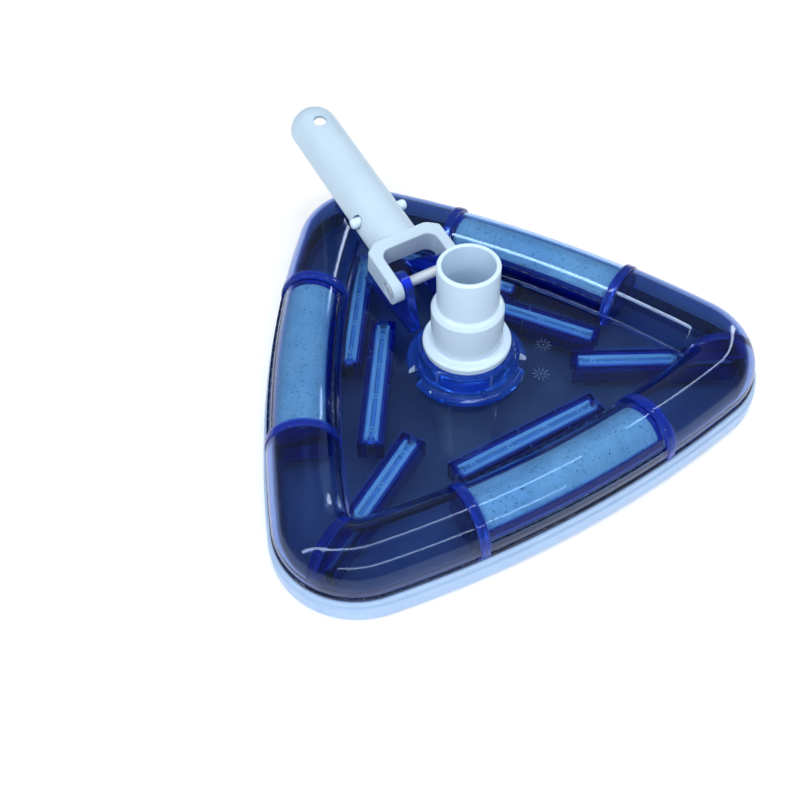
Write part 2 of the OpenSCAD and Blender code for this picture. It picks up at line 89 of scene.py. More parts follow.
def turn(p, deg):
    c, s = math.cos(math.radians(deg)), math.sin(math.radians(deg))
    return (p[0] * c - p[1] * s, p[0] * s + p[1] * c)


def shift(x, y, z=0):
    return Matrix.Translation((x, y, z))


def turned(degrees):
    """A turn about Z."""
    return Matrix.Rotation(math.radians(degrees), 4, "Z")


def arc(cx, cy, r, a0, a1, n):
    """Points on an arc in degrees, both ends included."""
    angles = [math.radians(a0 + (a1 - a0) * i / n) for i in range(n + 1)]
    return [(cx + r * math.cos(a), cy + r * math.sin(a)) for a in angles]


def rounded(points, steps=4):
    """A closed polygon of (x, y, radius) with its corners rounded."""
    out = []
    for i, (x, y, r) in enumerate(points):
        if r <= 0:
            out.append((x, y))
            continue
        p = Vector((x, y))
        a = Vector(points[i - 1][:2]) - p
        b = Vector(points[(i + 1) % len(points)][:2]) - p
        a.normalize(), b.normalize()
        half = a.angle(b) / 2
        reach = r / math.tan(half)
        centre = p + (a + b).normalized() * (r / math.sin(half))
        start, end = p + a * reach - centre, p + b * reach - centre
        a0, a1 = math.atan2(start.y, start.x), math.atan2(end.y, end.x)
        sweep_a = (a1 - a0 + math.pi) % (2 * math.pi) - math.pi
        for k in range(steps + 1):
            ang = a0 + sweep_a * k / steps
            out.append((centre.x + r * math.cos(ang), centre.y + r * math.sin(ang)))
    return out


def inset(points, d):
    """A closed polygon moved inwards by d."""
    if not d:
        return points
    area = sum(points[i - 1][0] * p[1] - p[0] * points[i - 1][1] for i, p in enumerate(points))
    turn_sign = 1 if area > 0 else -1
    out = []
    for i, p in enumerate(points):
        a = (Vector(p) - Vector(points[i - 1])).normalized()
        b = (Vector(points[(i + 1) % len(points)]) - Vector(p)).normalized()
        na, nb = Vector((-a.y, a.x)), Vector((-b.y, b.x))
        n = na + nb
        n = n.normalized() if n.length > 1e-6 else na
        n /= max(0.4, n.dot(na))  # a sharp corner moves by no more than 2.5 d
        out.append((p[0] + n.x * d * turn_sign, p[1] + n.y * d * turn_sign))
    return out


class Station:
    """One place on the outline, for rim sections in (t, z), t being inwards from the bumper's face."""

    def __init__(self, centre, angle, radius):
        self.centre, self.radius = centre, radius
        self.dir = (math.cos(math.radians(angle)), math.sin(math.radians(angle)))

    def at(self, t, z):
        r = self.radius - t
        return (self.centre[0] + r * self.dir[0], self.centre[1] + r * self.dir[1], z)


def on_side(side, angle):
    return Station(turn((0, side_c), 120 * side), 120 * side - 90 + angle, SIDE_R)


def side_at(side, s):
    """The station a distance s along a side from its middle, measured along the ridge's crest."""
    return on_side(side, math.degrees(s / (SIDE_R - RIDGE_T)))


def whole_outline(n_side=56, n_corner=26):
    out = []
    for k in range(3):
        out += [on_side(k, side_half * (2 * i / n_side - 1)) for i in range(n_side)]
        centre = turn((CORNER_REACH, 0), 120 * k - 30)
        angles = [120 * k - 30 + corner_half * (2 * i / n_corner - 1) for i in range(n_corner)]
        out += [Station(centre, angle, CORNER_R) for angle in angles]
    return out


class Solid:
    """A closed mesh being put together, in millimetres."""

    def __init__(self):
        self.verts, self.faces = [], []

    def loops(self, loops, ring=False):
        """Joins closed loops of points, each with the same count, with quads, and caps the two ends.

        With ring, the last loop is joined to the first instead.
        """
        base, n = len(self.verts), len(loops[0])
        for loop in loops:
            self.verts += [tuple(p) for p in loop]
        count = len(loops)
        for i in range(count if ring else count - 1):
            a, b = base + i * n, base + ((i + 1) % count) * n
            for j in range(n):
                k = (j + 1) % n
                self.faces.append((a + j, a + k, b + k, b + j))
        if not ring:
            self.faces.append(tuple(base + j for j in range(n))[::-1])
            self.faces.append(tuple(base + (count - 1) * n + j for j in range(n)))
        return self

    def moved(self, matrix):
        self.verts = [tuple(matrix @ Vector(v)) for v in self.verts]
        return self

    def add(self, other):
        base = len(self.verts)
        self.verts += other.verts
        self.faces += [tuple(base + i for i in f) for f in other.faces]
        return self

    def object(self, name="tool", merge=1e-5):
        mesh = bpy.data.meshes.new(name)
        mesh.from_pydata([(x * MM, y * MM, z * MM) for x, y, z in self.verts], [], self.faces)
        bm = bmesh.new()
        bm.from_mesh(mesh)
        bmesh.ops.remove_doubles(bm, verts=bm.verts, dist=merge)
        bmesh.ops.recalc_face_normals(bm, faces=bm.faces)
        bm.to_mesh(mesh)
        bm.free()
        obj = bpy.data.objects.new(name, mesh)
        bpy.context.scene.collection.objects.link(obj)
        return obj


def end_steps(length, radius, steps=4):
    """Distances along a bar with rounded ends, each with how far its section is inset there."""
    first = [
        (radius * (1 - math.cos(math.pi / 2 * i / steps)), radius * (1 - math.sin(math.pi / 2 * i / steps)))
        for i in range(steps + 1)
    ]
    return first + [(length - d, shrink) for d, shrink in reversed(first)]


def side_bar(side, s0, s1, section, radius=0.0, n=2):
    """A rim section swept along a side between two distances, with rounded ends."""
    steps = end_steps(s1 - s0, radius) if radius else [(0, 0), (s1 - s0, 0)]
    half = len(steps) // 2
    middle = [((s1 - s0) * i / n, 0) for i in range(1, n)]
    middle = [m for m in middle if steps[half - 1][0] < m[0] < steps[half][0]]
    steps = steps[:half] + middle + steps[half:]
    loops = []
    for d, shrink in steps:
        st = side_at(side, s0 + d)
        loops.append([st.at(t, z) for t, z in inset(section, shrink)])
    return Solid().loops(loops)


def prism(outline, z0, z1, radius=0.0, steps=3):
    """An outline in (x, y) raised from z0 to z1, with rounded edges."""
    rings = end_steps(z1 - z0, radius, steps) if radius else [(0, 0), (z1 - z0, 0)]
    return Solid().loops([[(x, y, z0 + d) for x, y in inset(outline, shrink)] for d, shrink in rings])


def block(x0, x1, y0, y1, z0, z1, radius=0.0):
    return prism([(x0, y0), (x1, y0), (x1, y1), (x0, y1)], z0, z1, radius)


def lathe(profile, n=128):
    """A closed profile in (radius, z) turned about Z. Points on the axis become poles."""
    loops = []
    for i in range(n):
        c, s = math.cos(2 * math.pi * i / n), math.sin(2 * math.pi * i / n)
        loops.append([(r * c, r * s, z) for r, z in profile])
    return Solid().loops(loops, ring=True)


def rod(z0, z1, r, n=48):
    return lathe([(0, z0), (r, z0), (r, z1), (0, z1)], n)


def rod_x(x0, x1, y, z, r, n=48):
    return rod(x0, x1, r, n).moved(shift(0, y, z) @ AXIS_TO_X)


def cut_and_join(base, steps):
    """Applies (operation, solid) steps to the object base, one after the other."""
    tools = [solid.object() for _, solid in steps]
    for i, ((operation, _), tool) in enumerate(zip(steps, tools)):
        mod = base.modifiers.new(f"step{i}", "BOOLEAN")
        mod.operation, mod.object, mod.solver = operation, tool, "MANIFOLD"
    bpy.context.view_layer.update()
    shaped = bpy.data.meshes.new_from_object(base.evaluated_get(bpy.context.evaluated_depsgraph_get()))
    base.modifiers.clear()
    base.data = shaped
    for tool in tools:
        bpy.data.objects.remove(tool)
    return base


def smooth(obj, angle):
    """Smooth shading, with edges sharper than angle kept."""
    obj.data.shade_smooth()
    obj.data.set_sharp_from_angle(angle=math.radians(angle))
    mod = obj.modifiers.new("weighted", "WEIGHTED_NORMAL")
    mod.keep_sharp, mod.weight = True, 60


def piece(obj, name, body, materials, stands_for=()):
    """Names a finished object, gives it its materials and puts it on its body."""
    obj.name = obj.data.name = name
    obj.data.materials.clear()
    for mat in materials if isinstance(materials, (list, tuple)) else [materials]:
        obj.data.materials.append(mat)
    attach(obj, body)
    if stands_for:
        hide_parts(*stands_for)
    return obj


# ---- Materials ----


class Nodes:
    """A node material with one Principled shader, and short ways to feed it."""

    def __init__(self, name, colour, roughness=0.4, **sockets):
        self.mat = bpy.data.materials.new(name)
        self.mat.use_nodes = True
        self.tree = self.mat.node_tree
        self.shader = self.tree.nodes["Principled BSDF"]
        self.shader.inputs["Base Color"].default_value = (*colour, 1)
        self.shader.inputs["Roughness"].default_value = roughness
        for key, value in sockets.items():
            self.shader.inputs[key.replace("_", " ")].default_value = value
        coords = self.tree.nodes.new("ShaderNodeTexCoord")
        self.place = coords.outputs["Object"]
        self.normal = None

    def node(self, kind, **values):
        n = self.tree.nodes.new(kind)
        for key, value in values.items():
            setattr(n, key, value)
        return n

    def link(self, a, b):
        self.tree.links.new(a, b)

    def noise(self, size, detail=4.0, rough=0.55, stretch=None):
        """Noise whose features are about size millimetres across."""
        n = self.node("ShaderNodeTexNoise")
        n.inputs["Scale"].default_value = 1 / (size * MM)
        n.inputs["Detail"].default_value = detail
        n.inputs["Roughness"].default_value = rough
        place = self.place
        if stretch:
            m = self.node("ShaderNodeMapping")
            m.inputs["Scale"].default_value = stretch
            self.link(place, m.inputs["Vector"])
            place = m.outputs["Vector"]
        self.link(place, n.inputs["Vector"])
        return n.outputs["Fac"]

    def ramp(self, source, stops):
        """Colours at positions from 0 to 1."""
        r = self.node("ShaderNodeValToRGB")
        elements = r.color_ramp.elements
        while len(elements) < len(stops):
            elements.new(0.5)
        for e, (pos, colour) in zip(elements, stops):
            e.position = pos
            e.color = (*colour, 1) if len(colour) == 3 else colour
        self.link(source, r.inputs["Fac"])
        return r.outputs["Color"]

    def remap(self, source, low, high, start=0.3, end=0.7):
        m = self.node("ShaderNodeMapRange")
        for key, value in (("From Min", start), ("From Max", end), ("To Min", low), ("To Max", high)):
            m.inputs[key].default_value = value
        self.link(source, m.inputs["Value"])
        return m.outputs["Result"]

    def math(self, operation, *values):
        n = self.node("ShaderNodeMath", operation=operation)
        for socket, value in zip(n.inputs, values):
            if isinstance(value, bpy.types.NodeSocket):
                self.link(value, socket)
            else:
                socket.default_value = value
        return n.outputs["Value"]

    def mix(self, factor, a, b, blend="MIX"):
        m = self.node("ShaderNodeMix", data_type="RGBA", blend_type=blend)
        for socket, value in ((m.inputs[0], factor), (m.inputs[6], a), (m.inputs[7], b)):
            if isinstance(value, bpy.types.NodeSocket):
                self.link(value, socket)
            elif isinstance(value, (int, float)):
                socket.default_value = value
            else:
                socket.default_value = (*value, 1)
        return m.outputs[2]

    def colour(self, source):
        self.link(source, self.shader.inputs["Base Color"])

    def roughness(self, source):
        self.link(source, self.shader.inputs["Roughness"])

    def bump(self, source, height, distance=1.0):
        """Adds a relief of about height millimetres."""
        b = self.node("ShaderNodeBump")
        b.inputs["Strength"].default_value = height
        b.inputs["Distance"].default_value = distance * MM
        self.link(source, b.inputs["Height"])
        if self.normal:
            self.link(self.normal, b.inputs["Normal"])
        self.normal = b.outputs["Normal"]
        self.link(self.normal, self.shader.inputs["Normal"])

    def soft_edges(self, radius):
        """Rounds the shading of edges over a radius in millimetres."""
        b = self.node("ShaderNodeBevel", samples=6)
        b.inputs["Radius"].default_value = radius * MM
        self.normal = b.outputs["Normal"]
        self.link(self.normal, self.shader.inputs["Normal"])


def over_brushes(m, length, width):
    """1 above a brush's rectangle of this size and 0 beside it, from the object's own coordinates."""
    parts = m.node("ShaderNodeSeparateXYZ")
    m.link(m.place, parts.inputs["Vector"])
    fold = m.node("ShaderNodeCombineXYZ")
    m.link(m.math("ABSOLUTE", parts.outputs["X"]), fold.inputs["X"])
    m.link(parts.outputs["Y"], fold.inputs["Y"])
    mask = None
    for x, y, angle in BRUSHES.values():
        local = m.node("ShaderNodeMapping", vector_type="TEXTURE")
        local.inputs["Location"].default_value = (x * MM, y * MM, 0)
        local.inputs["Rotation"].default_value = (0, 0, math.radians(angle))
        m.link(fold.outputs["Vector"], local.inputs["Vector"])
        ends = m.node("ShaderNodeSeparateXYZ")
        m.link(local.outputs["Vector"], ends.inputs["Vector"])
        fades = []
        for axis, half, before, after in (("X", length / 2, 0.2, 0.5), ("Y", width / 2, 0.1, 0.7)):
            away = m.math("ABSOLUTE", ends.outputs[axis])
            fades.append(m.remap(away, 1, 0, (half - before) * MM, (half + after) * MM))
        inside = m.math("MULTIPLY", *fades)
        mask = m.math("MAXIMUM", mask, inside) if mask else inside
    return mask


def clear_plastic(name, tint, deep, strips=None, glow=0.0, rim=None):
    """Tinted see-through plastic: tint is what one wall lets through, and deep a darker patchy tint.

    strips is the clearer tint above the brushes, where a plate's painted shade is left off, glow the share of
    light that the plastic scatters, and rim the tint where the wall is seen edge on, and so through more of
    it.
    """
    m = Nodes(name, tint, 0.03, Transmission_Weight=1.0 - glow, IOR=1.47, Specular_Tint=(0.6, 0.75, 1.0, 1.0))
    m.soft_edges(0.5)
    flow = m.noise(26, 3, 0.5, stretch=(1, 1, 0.4))
    colour = m.ramp(flow, [(0.32, deep), (0.68, tint)])
    # Above the brush strips the tint turns clearer, framed by the channels' deep blue; elsewhere a plate's
    # dark tint is painted shade of the dark space under the head.
    if strips:
        framed = m.mix(over_brushes(m, CHANNEL_LEN, CHANNEL_W), colour, CHANNEL_TINT)
        colour = m.mix(over_brushes(m, BRUSH_LEN, BRUSH_W), framed, strips)
    if rim:
        edge_on = m.node("ShaderNodeLayerWeight")
        edge_on.inputs["Blend"].default_value = 0.5
        colour = m.mix(m.remap(edge_on.outputs["Facing"], 0, 1, 0.42, 0.78), colour, rim)
    m.colour(colour)
    m.roughness(m.remap(m.noise(9, 5, 0.6), 0.01, 0.05))
    m.bump(m.noise(18, 2), 0.04, 0.25)
    return m.mat


def moulded_plastic(name, colour, shade, roughness=(0.24, 0.4), edge=0.6, **sockets):
    """Opaque moulded plastic with a faint flow pattern, fine grain and softly rounded edges."""
    m = Nodes(name, colour, 0.3, **sockets)
    m.soft_edges(edge)
    m.colour(m.ramp(m.noise(22, 4, 0.6), [(0.3, shade), (0.7, colour)]))
    m.roughness(m.remap(m.noise(5, 5, 0.6), *roughness))
    m.bump(m.noise(14, 2), 0.12, 0.3)
    m.bump(m.noise(0.5, 2), 0.05, 0.05)
    return m.mat


def bright_metal(name, colour=(0.72, 0.74, 0.76), roughness=(0.18, 0.34), metallic=1.0):
    m = Nodes(name, colour, 0.25, Metallic=metallic)
    m.soft_edges(0.25)
    brushed = m.noise(0.8, 3, 0.6, stretch=(1, 6, 6))
    m.colour(m.ramp(brushed, [(0.3, tuple(c * 0.86 for c in colour)), (0.7, colour)]))
    m.roughness(m.remap(brushed, *roughness))
    m.bump(brushed, 0.08, 0.05)
    return m.mat


CHANNEL_TINT = (0.10, 0.23, 0.82)
RIDGE_TINT = clear_plastic(
    "shell_ridge_clear_blue", (0.145, 0.24, 0.47), (0.11, 0.19, 0.42), rim=(0.08, 0.19, 0.95)
)
# The plate's navy is the plastic's blue darkened by painted shade of the dark space under the head; the
# clearer strips tint leaves that painted shade off above the brushes.
PLATE_BLUE_AND_PAINTED_SHADE = clear_plastic(
    "shell_plate_navy_with_painted_shade", (0.16, 0.25, 0.43), (0.12, 0.20, 0.38), strips=(0.35, 0.62, 0.94)
)
DEEP_TINT = clear_plastic("shell_thick_deep_blue", (0.04, 0.13, 1.0), (0.03, 0.10, 0.96), glow=0.16)
WINDOW_TINT = clear_plastic(
    "shell_window_clear_blue", (0.46, 0.73, 1.0), (0.40, 0.67, 0.98), rim=(0.12, 0.28, 0.92)
)
COLLAR_TINT = clear_plastic("collar_clear_blue", (0.05, 0.21, 1.0), (0.03, 0.17, 0.96), glow=0.14)

DIAL = moulded_plastic("dial_raised_blue", (0.09, 0.15, 0.32), (0.06, 0.11, 0.26), edge=0.1)

WHITE = moulded_plastic(
    "white_moulded_plastic", (0.62, 0.79, 0.95), (0.59, 0.76, 0.93), (0.2, 0.26), Coat_Weight=0.2
)
HANDLE_WHITE = moulded_plastic("handle_moulded_plastic", (0.49, 0.63, 0.76), (0.45, 0.59, 0.72), (0.28, 0.42))
VINYL = moulded_plastic(
    "bumper_soft_vinyl", (0.38, 0.53, 0.77), (0.33, 0.48, 0.72), (0.3, 0.48), Subsurface_Weight=0.15,
    Subsurface_Scale=0.002, Coat_Weight=0.15
)
STRIP = moulded_plastic("brush_strip_plastic", (0.76, 0.85, 0.95), (0.66, 0.76, 0.88), edge=0.25)
COVER = moulded_plastic("cover_blue_plastic", (0.04, 0.12, 0.5), (0.03, 0.09, 0.4))
STEEL = bright_metal("stainless_steel")
PALE_STEEL = bright_metal("bright_zinc_steel", (0.84, 0.91, 0.98), (0.3, 0.42), 0.5)


def weight_finish():
    m = Nodes("weight_coated_casting", (0.5, 0.6, 0.68), 0.55)
    m.soft_edges(0.8)
    cast = m.ramp(m.noise(11, 6, 0.65), [(0.3, (0.54, 0.62, 0.68)), (0.72, (0.72, 0.79, 0.83))])
    specks = m.ramp(m.noise(1.3, 2, 0.5), [(0.63, (1, 1, 1)), (0.69, (0.3, 0.34, 0.4))])
    m.colour(m.mix(1.0, cast, specks, "MULTIPLY"))
    m.roughness(m.remap(m.noise(3, 4), 0.4, 0.7))
    m.bump(m.noise(2.2, 6, 0.7), 0.5, 0.4)
    return m.mat


def bristle_finish():
    m = Nodes("bristle_nylon", (0.16, 0.36, 0.74), 0.35, Subsurface_Weight=0.1, Subsurface_Scale=0.0005)
    height = m.node("ShaderNodeSeparateXYZ")
    m.link(m.place, height.inputs["Vector"])
    pale = m.remap(height.outputs["Z"], 1.0, 0.0, 0.0, 0.012)
    body = m.ramp(m.noise(3, 3), [(0.3, (0.2, 0.36, 0.72)), (0.7, (0.36, 0.54, 0.86))])
    m.colour(m.mix(pale, body, (0.78, 0.86, 0.95)))
    m.roughness(m.remap(m.noise(1.5, 3), 0.25, 0.5))
    m.bump(m.noise(0.3, 2), 0.2, 0.05)
    return m.mat


WEIGHT, BRISTLE = weight_finish(), bristle_finish()
# Pale material for the collar's notch faces: a painted glint, standing in for the bright reflections on those
# edges.
NOTCH_GLINT = moulded_plastic("painted_notch_glint", (0.62, 0.76, 0.97), (0.5, 0.66, 0.92), (0.35, 0.5), edge=0.2)
RUBBER = moulded_plastic("seal_rubber", (0.02, 0.02, 0.022), (0.012, 0.012, 0.014), (0.5, 0.7), edge=0.2)

# ---- Body shell ----


def ridge_and_plate():
    """The ridge's hollow section round the outline, and the plate as rings from there to the hub's hole."""
    fillet, plate_rings = 1.6, 8
    cx = RIDGE_T + math.sqrt((RIDGE_R + fillet) ** 2 - (PLATE_TOP - RIDGE_Z + fillet) ** 2)
    lean = math.degrees(math.asin((PLATE_TOP - RIDGE_Z + fillet) / (RIDGE_R + fillet)))
    stub, inner, foot = 44.0, RIDGE_R - WALL, RIDGE_T + RIDGE_R - WALL
    low = PLATE_UNDER - 0.6
    section = [(stub, PLATE_TOP)]
    section += arc(cx, PLATE_TOP + fillet, fillet, -90, lean - 180, 5)
    section += arc(RIDGE_T, RIDGE_Z, RIDGE_R, lean, 180, 64)[1:]
    section += [
        (BUMPER_OUT, 16.6), (BUMPER_OUT - 0.55, 16.3), (BUMPER_OUT - 0.8, 15.8), (BUMPER_OUT - 0.8, 14.8),
        (BUMPER_OUT - 0.6, 14.3), (BUMPER_OUT, 14.1), (BUMPER_OUT, 3.5), (BUMPER_OUT + 0.5, 3),
        (BUMPER_OUT + WALL - 0.5, 3), (BUMPER_OUT + WALL, 3.5)
    ]
    section += arc(RIDGE_T, RIDGE_Z, inner, 180, 0, 48)
    section += [
        (foot, low + 0.4), (foot + 0.4, low), (foot + WALL - 0.4, low), (foot + WALL, low + 0.2),
        (foot + WALL + 0.5, PLATE_UNDER), (stub, PLATE_UNDER)
    ]
    loops = []
    for st in whole_outline():
        rim = [st.at(t, z) for t, z in section]
        x, y, _ = rim[0]
        hub = (x * HUB_HOLE / math.hypot(x, y), y * HUB_HOLE / math.hypot(x, y))
        rings = [
            (hub[0] + (x - hub[0]) * k / plate_rings, hub[1] + (y - hub[1]) * k / plate_rings)
            for k in range(plate_rings)
        ]
        loops.append([(*p, PLATE_TOP) for p in rings] + rim + [(*p, PLATE_UNDER) for p in reversed(rings)])
    return Solid().loops(loops, ring=True).object("shell")


def window_tool(side):
    """What is cut from the ridge to set a pocket's window back."""
    r = RIDGE_R - WINDOW_DEPTH
    a_out = 180 - math.degrees(math.asin((WINDOW_Z_OUT - RIDGE_Z) / r))
    a_in = math.degrees(math.asin((WINDOW_Z_IN - RIDGE_Z) / r))
    section = arc(RIDGE_T, RIDGE_Z, r, a_in, a_out, 56)
    outside, inside, above = RIDGE_T - RIDGE_R - 2, RIDGE_T + RIDGE_R + 2, 44
    section += [(outside, WINDOW_Z_OUT), (outside, above), (inside, above), (inside, WINDOW_Z_IN)]
    return side_bar(side, -POCKET_HALF - 1, POCKET_HALF + 1, section, n=44)


def hoop(side, s0):
    r = RIDGE_R + HOOP_LIFT
    inner, outer, low = RIDGE_T + RIDGE_R - WALL + 0.6, BUMPER_OUT + 1.6, BUMPER_H + 1
    section = [(BUMPER_OUT - HOOP_LIFT, low)] + arc(RIDGE_T, RIDGE_Z, r, 180, 0, 64)
    section += [(inner, RIDGE_Z - 0.2), (inner, POCKET_FLOOR), (outer, POCKET_FLOOR), (outer, low)]
    return side_bar(side, s0, s0 + HOOP_W, section, radius=1.1)


def pocket_walls(side):
    """The two long walls that hold a weight."""
    out, half, top = Solid(), 0.8, RIDGE_Z + 10
    for direction in (-1, 1):
        t = RIDGE_T + direction * (WEIGHT_W / 2 + 2 * half)
        section = [(t - half, POCKET_FLOOR), (t + half, POCKET_FLOOR), (t + half, top), (t - half, top)]
        out.add(side_bar(side, -POCKET_HALF - 1, POCKET_HALF + 1, section, n=24))
    return out


def corner_rib(k):
    plate = prism(arc(0, 0, RIDGE_R - WALL / 2, 0, 180, 48), -RIB_HALF, RIB_HALF, 0.6)
    crest = shift(CORNER_REACH + CORNER_R - RIDGE_T, 0, RIDGE_Z)
    return plate.moved(turned(120 * k - 30) @ crest @ Matrix.Rotation(math.pi / 2, 4, "X"))


def brush_places():
    """Each strip's name and its place, with the left ones mirrored."""
    for name, (x, y, angle) in BRUSHES.items():
        place = shift(x, y) @ turned(angle)
        if name == "front":
            yield "front", place
        else:
            yield name + "_right", place
            yield name + "_left", Matrix.Scale(-1, 4, (1, 0, 0)) @ place


def channel(place, slits):
    """The walls round a strip: long walls in stretches, and end walls with a gap in the middle."""
    out = Solid()
    half_l, half_w, top = CHANNEL_LEN / 2, CHANNEL_W / 2, PLATE_UNDER + 1.5
    cuts, slit, gap = [-0.03 * CHANNEL_LEN, 0.24 * CHANNEL_LEN] if slits else [], 1.5, 2.4
    edges = [-half_l] + [c for cut in cuts for c in (cut, cut + slit)] + [half_l]
    for x0, x1 in zip(edges[::2], edges[1::2]):
        for y in (-half_w, half_w - CHANNEL_WALL):
            out.add(block(x0, x1, y, y + CHANNEL_WALL, CHANNEL_UNDER, top, 0.3))
    for x in (-half_l, half_l - CHANNEL_WALL):
        for y0, y1 in ((-half_w + 0.4, -gap), (gap, half_w - 0.4)):
            out.add(block(x, x + CHANNEL_WALL, y0, y1, CHANNEL_UNDER + 0.2, top, 0.3))
    return out.moved(place)


def ear_outline():
    """An ear in (y, z): a boss round the bolt and straight edges from it down to the plate."""
    boss = Vector((HINGE_Y, HINGE_Z))

    def tangent(p, side):
        v = Vector(p) - boss
        a = math.atan2(v.y, v.x) + side * math.acos(EAR_R / v.length)
        return math.degrees(a)

    foot_y, foot_z, step_z = 33.3, PLATE_TOP - 1, 26
    back, front = (88, foot_z), (29.5, step_z)
    a0, a1 = tangent(back, 1), tangent(front, -1)
    round_top = arc(*boss, EAR_R, a0, a1 if a1 > a0 else a1 + 360, 28)
    return [(foot_y, foot_z), back] + round_top + [front, (foot_y, step_z)]


def ear(x0, x1):
    return prism(ear_outline(), x0, x1, 0.7).moved(LIE_ALONG_X)


def rim_distance(x, y):
    """How far a point lies inwards from the bumper's outer face."""
    best = 1e9
    for k in range(3):
        cx, cy = turn((0, side_c), 120 * k)
        best = min(best, SIDE_R - math.hypot(x - cx, y - cy))
        ux, uy = turn((1, 0), 120 * k - 30)
        dx, dy = x - CORNER_REACH * ux, y - CORNER_REACH * uy
        along = math.degrees(math.atan2(dy * ux - dx * uy, dx * ux + dy * uy))
        if abs(along) < corner_half and dx * ux + dy * uy > 0:
            return CORNER_R - math.hypot(dx, dy)
    return best


def build_shell():
    shell = ridge_and_plate()
    steps = [(CUT, window_tool(k)) for k in range(3)]
    for k in range(3):
        steps += [(JOIN, hoop(k, s0)) for s0 in (-POCKET_HALF - HOOP_W, POCKET_HALF)]
        steps += [(JOIN, pocket_walls(k)), (JOIN, corner_rib(k))]
    for name, place in brush_places():
        steps.append((JOIN, channel(place, not name.startswith("corner"))))
    steps += [(JOIN, ear(-EAR_OUT, -EAR_IN)), (JOIN, ear(EAR_IN, EAR_OUT))]
    steps.append((CUT, rod_x(-20, 20, HINGE_Y, HINGE_Z, HINGE_HOLE_R)))
    return cut_and_join(shell, steps)


def paint_shell(shell):
    """Gives each face its place: ridge, plate, thick stretches or windows."""
    on_ridge, on_plate, thick, on_window = range(4)
    ridge_end, plate_start, pocket_end = 42, 43.2, 42.5
    for face in shell.data.polygons:
        x, y, z = (c / MM for c in face.center)
        t = rim_distance(x, y)
        from_crest = math.hypot(t - RIDGE_T, z - RIDGE_Z)
        index = on_ridge
        if t > plate_start and z < PLATE_TOP + 0.3:
            index = on_plate if z > PLATE_UNDER - 0.4 else thick
        elif t > ridge_end and z > PLATE_TOP:
            index = thick
        for side in range(3):
            u, v = turn((x, y), -120 * side)
            along = math.atan2(u, side_c - v) * (SIDE_R - RIDGE_T)
            if side_c - v < SIDE_R - 70:
                continue
            if POCKET_HALF - 0.05 <= abs(along) <= POCKET_HALF + HOOP_W + 0.05 and z > 8 and t < pocket_end:
                index = thick
            elif abs(along) < POCKET_HALF and t < ridge_end:
                if z > RIDGE_Z + 1 and RIDGE_R - WALL - 0.3 < from_crest < RIDGE_R - 0.6:
                    index = on_window if z > WINDOW_Z_OUT - 0.5 else on_ridge
                elif abs(t - RIDGE_T) < 16 and z < RIDGE_Z + 10.5 and from_crest < RIDGE_R - WALL - 0.3:
                    index = thick
        for k in range(3):
            u, v = turn((x, y), 30 - 120 * k)
            in_rib = u > CORNER_REACH and abs(v) < RIB_HALF + 0.01
            if in_rib and z > RIDGE_Z - 0.2 and from_crest < RIDGE_R - WALL - 0.1:
                index = thick
        face.material_index = index


shell = build_shell()
piece(shell, "clear_shell", "head", [RIDGE_TINT, PLATE_BLUE_AND_PAINTED_SHADE, DEEP_TINT, WINDOW_TINT], ["body_shell"])
paint_shell(shell)
smooth(shell, 30)


def build_dials():
    """Two small dials moulded on the plate: a ring of short spokes round a dot."""
    out, low, spokes = Solid(), PLATE_TOP - 0.1, 10
    for x, y in ((42.2, -12.6), (29.0, -29.3)):
        at = shift(x, y)
        for i in range(spokes):
            spin = Matrix.Rotation(2 * math.pi / spokes * i, 4, "Z")
            out.add(block(1.9, 4.6, -0.18, 0.18, low, PLATE_TOP + 0.22, 0.06).moved(at @ spin))
        dot = lathe([(0, low), (0.5, low), (0.5, PLATE_TOP + 0.2), (0, PLATE_TOP + 0.25)], 16)
        out.add(dot.moved(at))
    return out.object(merge=1e-9)


piece(build_dials(), "moulded_dials", "head", DIAL)

# ---- Bumper ----


def build_bumper():
    section = [(1.9, 0)] + arc(1.7, 1.7, 1.7, -98, -180, 5) + arc(1.5, 8.4, 1.5, 180, 112, 4)
    section += [(1.2, 10.0), (1.35, 10.5), (1.2, 10.9)]
    section += arc(2.0, 12.7, 1.3, 196, 92, 6) + [(BUMPER_OUT, BUMPER_H)]
    section += [(BUMPER_OUT + 0.02, 3.05), (BUMPER_OUT + WALL - 0.02, 3.05), (BUMPER_OUT + WALL + 0.02, 5.0)]
    section += arc(BUMPER_OUT + WALL + 1.1, 4.9, 0.9, 150, 0, 5) + arc(7.2, 1.0, 1.0, 0, -90, 4)
    loops = [[st.at(t, z) for t, z in section] for st in whole_outline(64, 36)]
    return Solid().loops(loops, ring=True).object()


bumper = piece(build_bumper(), "soft_bumper", "head", VINYL, ["bumper"])
smooth(bumper, 40)

# ---- Weights and their covers ----


def build_weight(side):
    """A weight, with a round top just under the ridge."""
    r = RIDGE_R - WALL - 1.5
    half = WEIGHT_W / 2
    a = math.degrees(math.acos(half / r))
    low, top = POCKET_FLOOR + 0.3, RIDGE_Z + r * math.sin(math.radians(a)) - 0.6
    section = [(RIDGE_T + half, low + 1), (RIDGE_T + half, top)]
    section += arc(RIDGE_T, RIDGE_Z, r, a + 4, 176 - a, 36)
    section += [(RIDGE_T - half, top), (RIDGE_T - half, low + 1), (RIDGE_T - half + 1, low)]
    section += [(RIDGE_T + half - 1, low)]
    return side_bar(side, 1 - POCKET_HALF, POCKET_HALF - 1, section, radius=1.8, n=36).object()


